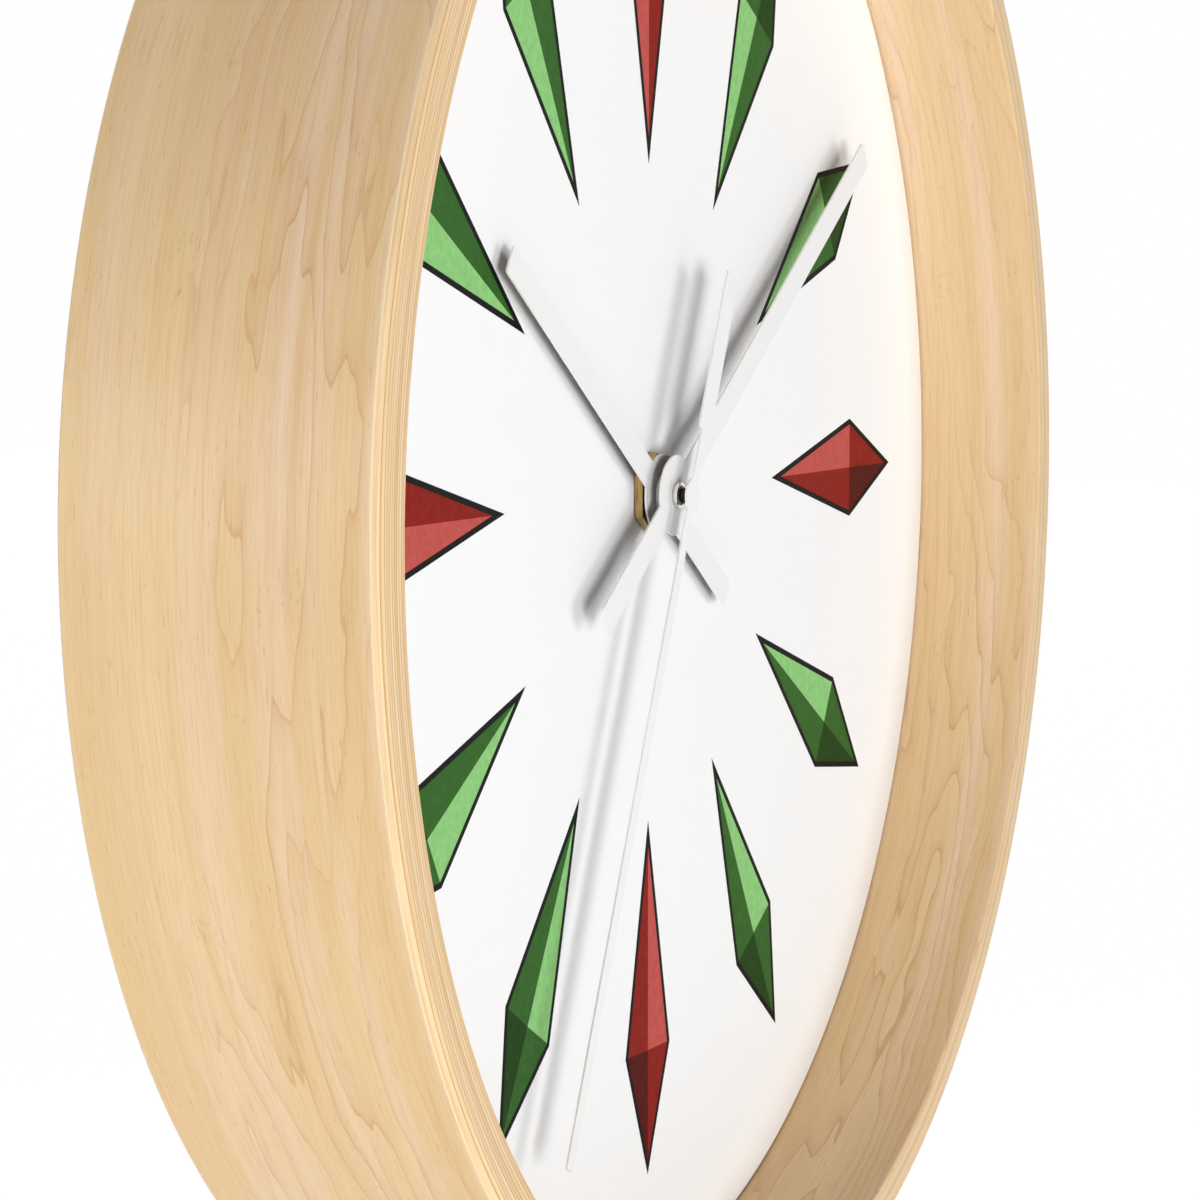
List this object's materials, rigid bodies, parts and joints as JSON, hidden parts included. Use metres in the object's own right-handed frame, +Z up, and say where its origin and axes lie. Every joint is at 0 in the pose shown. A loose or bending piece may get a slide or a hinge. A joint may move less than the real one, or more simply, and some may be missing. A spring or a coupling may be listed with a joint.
{
  "type": "wall clock",
  "caption": "Round wall clock: deep bent-ply maple hoop, set-back white dial, flat white hands and a quartz movement behind, hung on a nail by a keyhole plate.",
  "frame": {"origin": "the point where the wall nail carries the top of the hanger plate's slot, on the wall plane", "axes": "+Z up, +Y into the wall along the hands' axis, +X to the right of someone who reads the dial"},
  "size_m": [0.254, 0.0444, 0.254],
  "materials": {
    "maple": "satin",
    "dial_white": "satin",
    "fibreboard": "matte",
    "poplar": "matte",
    "screw_steel": "satin",
    "plate_steel": "satin",
    "black_plastic": "matte",
    "brass": "satin",
    "rubber": "matte",
    "gear_plastic": "satin",
    "copper": "satin",
    "circuit_green": "satin",
    "battery_sleeve": "gloss",
    "hand_white": "satin",
    "chrome": "polished",
    "magnet_grey": "matte"
  },
  "bodies": {
    "frame": {"frame_hoop": "maple", "dial_face": "dial_white", "backing_board": "fibreboard", "support_ring": "poplar", "board_screw_1": "screw_steel", "board_screw_2": "screw_steel", "board_screw_3": "screw_steel", "board_screw_4": "screw_steel", "hanger_block": "maple", "hanger_plate": "plate_steel", "hanger_screw_1": "screw_steel", "hanger_screw_2": "screw_steel", "movement_case": "black_plastic", "movement_cover": "black_plastic", "threaded_bush": "brass", "rubber_gasket": "rubber", "dial_nut": "brass", "stator": "plate_steel", "coil_core": "plate_steel", "coil_bobbin": "gear_plastic", "coil_winding": "copper", "circuit_board": "circuit_green", "chip": "black_plastic", "quartz_crystal": "plate_steel", "positive_contact": "plate_steel", "negative_contact": "plate_steel"},
    "minute": {"minute_wheel": "gear_plastic", "minute_hand": "hand_white", "minute_collet": "hand_white", "hand_nut": "chrome"},
    "hour": {"hour_wheel": "gear_plastic", "hour_hand": "hand_white"},
    "second": {"second_wheel": "gear_plastic", "second_hand": "hand_white", "second_pipe": "chrome"},
    "third": {"third_wheel": "gear_plastic"},
    "setting": {"motion_wheel": "gear_plastic", "setting_knob": "black_plastic"},
    "intermediate": {"intermediate_wheel": "gear_plastic"},
    "rotor": {"rotor_pinion": "gear_plastic", "rotor_magnet": "magnet_grey"},
    "cell": {"battery": "battery_sleeve"}
  },
  "joints": [
    {"name": "minute_hand_turn", "type": "hinge", "parent": "frame", "child": "minute", "pos_m": [0, -0.02735, -0.105], "axis": [0, 1, 0], "continuous": true},
    {"name": "hour_hand_turn", "type": "hinge", "parent": "frame", "child": "hour", "pos_m": [0, -0.0251, -0.105], "axis": [0, 1, 0], "continuous": true},
    {"name": "second_hand_turn", "type": "hinge", "parent": "frame", "child": "second", "pos_m": [0, -0.03, -0.105], "axis": [0, 1, 0], "continuous": true},
    {"name": "third_wheel_turn", "type": "hinge", "parent": "frame", "child": "third", "pos_m": [0.01064, -0.0105, -0.10312], "axis": [0, 1, 0], "continuous": true},
    {"name": "setting_knob_turn", "type": "hinge", "parent": "frame", "child": "setting", "pos_m": [-0.01101, -0.0027, -0.10306], "axis": [0, 1, 0], "continuous": true},
    {"name": "intermediate_wheel_turn", "type": "hinge", "parent": "frame", "child": "intermediate", "pos_m": [0, -0.0066, -0.0966], "axis": [0, 1, 0], "continuous": true},
    {"name": "rotor_turn", "type": "hinge", "parent": "frame", "child": "rotor", "pos_m": [0.0036, -0.0105, -0.09036], "axis": [0, 1, 0], "continuous": true},
    {"name": "battery_slide", "type": "slide", "parent": "frame", "child": "cell", "axis": [0, 1, 0], "range_m": [0, 0.02]}
  ],
  "couplings": [
    {"joint": "hour_hand_turn", "follows": "minute_hand_turn", "ratio": 0.083333},
    {"joint": "second_hand_turn", "follows": "minute_hand_turn", "ratio": 60},
    {"joint": "third_wheel_turn", "follows": "minute_hand_turn", "ratio": -8},
    {"joint": "setting_knob_turn", "follows": "minute_hand_turn", "ratio": -0.33333},
    {"joint": "intermediate_wheel_turn", "follows": "minute_hand_turn", "ratio": -360},
    {"joint": "rotor_turn", "follows": "minute_hand_turn", "ratio": 1800}
  ]
}
